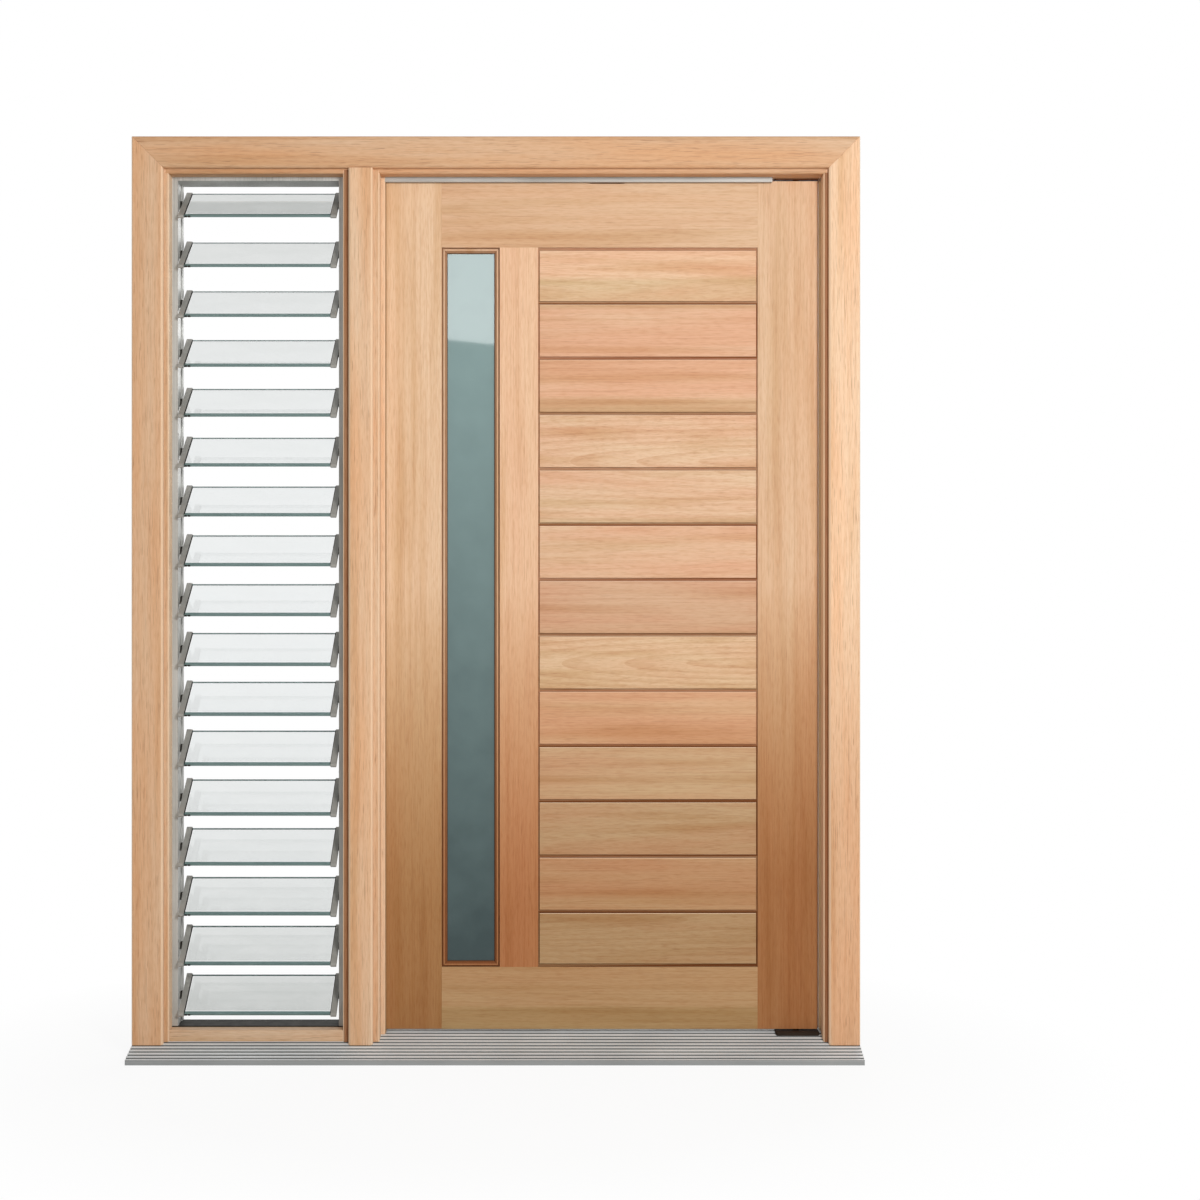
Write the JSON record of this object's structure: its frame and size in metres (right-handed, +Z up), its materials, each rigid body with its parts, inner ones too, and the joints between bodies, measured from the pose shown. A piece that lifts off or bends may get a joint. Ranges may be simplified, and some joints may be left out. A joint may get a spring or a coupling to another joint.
{
  "type": "glazed pivot entrance door with louvre sidelight",
  "caption": "Timber pivot entrance door with a tall frosted glass slot and horizontal boards, framed beside a glass louvre sidelight on a ridged aluminium sill.",
  "frame": {"origin": "on the sill's underside, midway across the frame, in the plane of the jambs' outside faces", "axes": "+X to the right seen from outside, +Y inward through the wall, +Z up"},
  "size_m": [1.983, 0.2581, 2.509],
  "materials": {
    "frame_timber": "clear satin",
    "leaf_timber": "clear satin",
    "board_timber": "clear satin",
    "sill_aluminium": "mill",
    "louvre_aluminium": "anodised",
    "dark_aluminium": "satin",
    "clip_plastic": "moulded",
    "clear_glass": "clear float",
    "frosted_glass": "frosted",
    "pivot_bronze": "dark bronze"
  },
  "bodies": {
    "frame": {"sill": "sill_aluminium", "left_jamb": "frame_timber", "right_jamb": "frame_timber", "head_jamb": "frame_timber", "mullion": "frame_timber", "left_cover_mould": "frame_timber", "right_cover_mould": "frame_timber", "head_cover_mould": "frame_timber", "mullion_cover_mould": "frame_timber", "sidelight_rail": "frame_timber", "head_stop": "louvre_aluminium", "lock_stop": "frame_timber", "louvre_head_strip": "louvre_aluminium", "louvre_sill_strip": "dark_aluminium", "louvre_channel_left": "louvre_aluminium", "louvre_channel_right": "louvre_aluminium", "louvre_clips_left": "clip_plastic", "louvre_clips_right": "clip_plastic", "louvre_blades": "clear_glass", "head_pivot": "pivot_bronze", "floor_pivot": "pivot_bronze"},
    "leaf": {"lock_stile": "leaf_timber", "heel_stile": "leaf_timber", "top_rail": "leaf_timber", "bottom_rail": "leaf_timber", "muntin": "leaf_timber", "glass_pane": "frosted_glass", "outside_beads": "leaf_timber", "inside_beads": "leaf_timber", "bottom_pivot_socket": "pivot_bronze", "top_pivot_socket": "pivot_bronze", "board_01": "board_timber", "board_02": "board_timber", "board_03": "board_timber", "board_04": "board_timber", "board_05": "board_timber", "board_06": "board_timber", "board_07": "board_timber", "board_08": "board_timber", "board_09": "board_timber", "board_10": "board_timber", "board_11": "board_timber", "board_12": "board_timber", "board_13": "board_timber"}
  },
  "joints": [
    {"name": "leaf_pivot", "type": "hinge", "parent": "frame", "child": "leaf", "pos_m": [0.8275, 0.082, 0], "axis": [0, 0, -1], "range_deg": [0, 90]}
  ]
}
